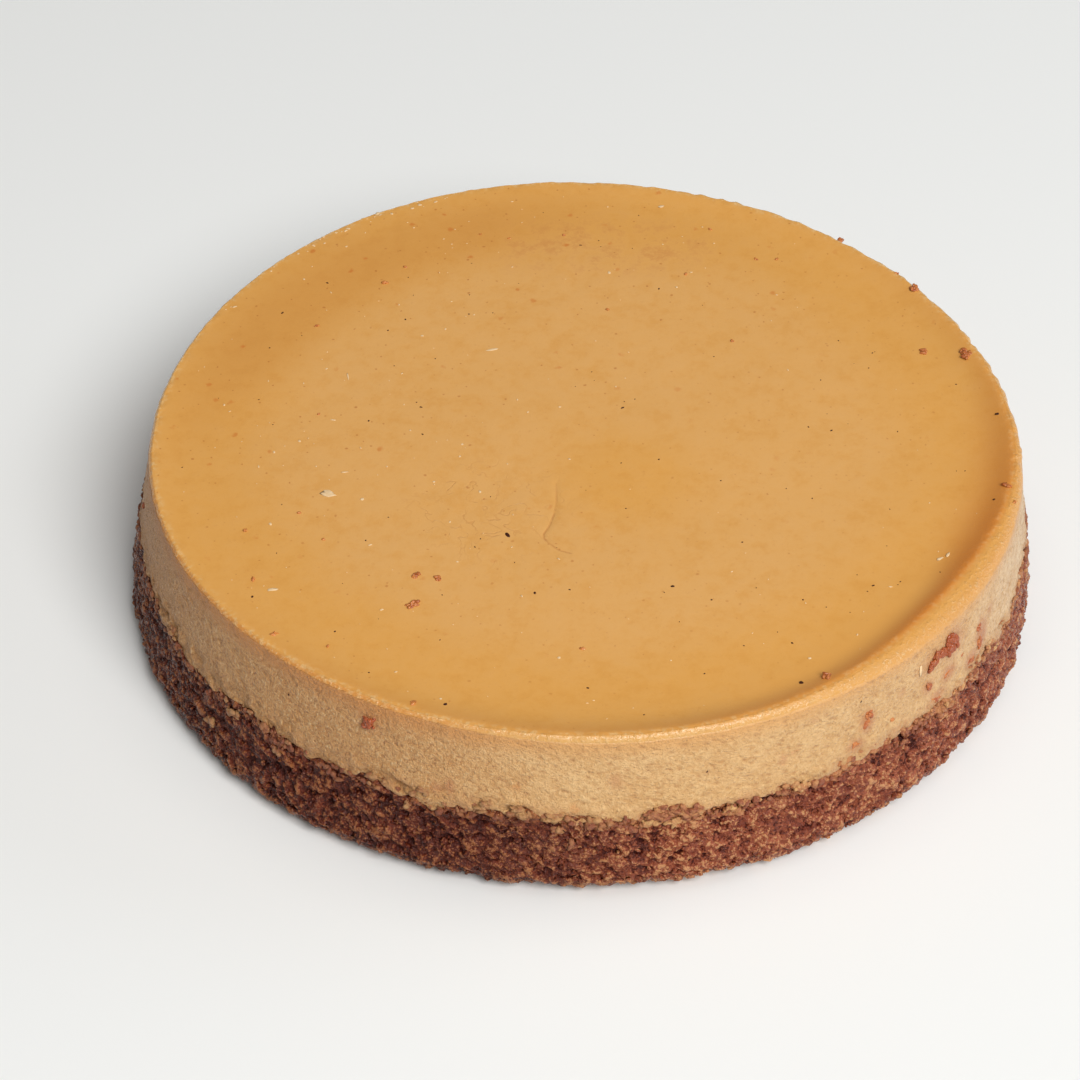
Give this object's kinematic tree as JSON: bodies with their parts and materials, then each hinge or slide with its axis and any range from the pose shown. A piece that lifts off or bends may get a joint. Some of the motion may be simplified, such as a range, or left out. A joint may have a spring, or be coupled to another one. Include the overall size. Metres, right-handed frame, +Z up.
{
  "type": "chocoflan",
  "caption": "Round chocoflan cake: a smooth caramel flan disc with a low raised rim, baked onto a disc of chocolate sponge, with a sloping side and an uneven seam between the layers.",
  "frame": {"origin": "on the surface the cake rests on, under the middle of its bounding box", "axes": "+Z up, from the sponge's underside to the flan's rim; -Y the front, the side nearest in the usual view; +X the side the top leans towards, where the rim stands highest over the dish"},
  "size_m": [0.2208, 0.2208, 0.0445],
  "materials": {
    "caramel_flan": "baked caramel flan: smooth moist skin on top, fine pale pores at the side",
    "chocolate_sponge": "moist open chocolate crumb"
  },
  "bodies": {
    "root": {"flan": "caramel_flan", "chocolate_sponge": "chocolate_sponge"}
  },
  "joints": []
}
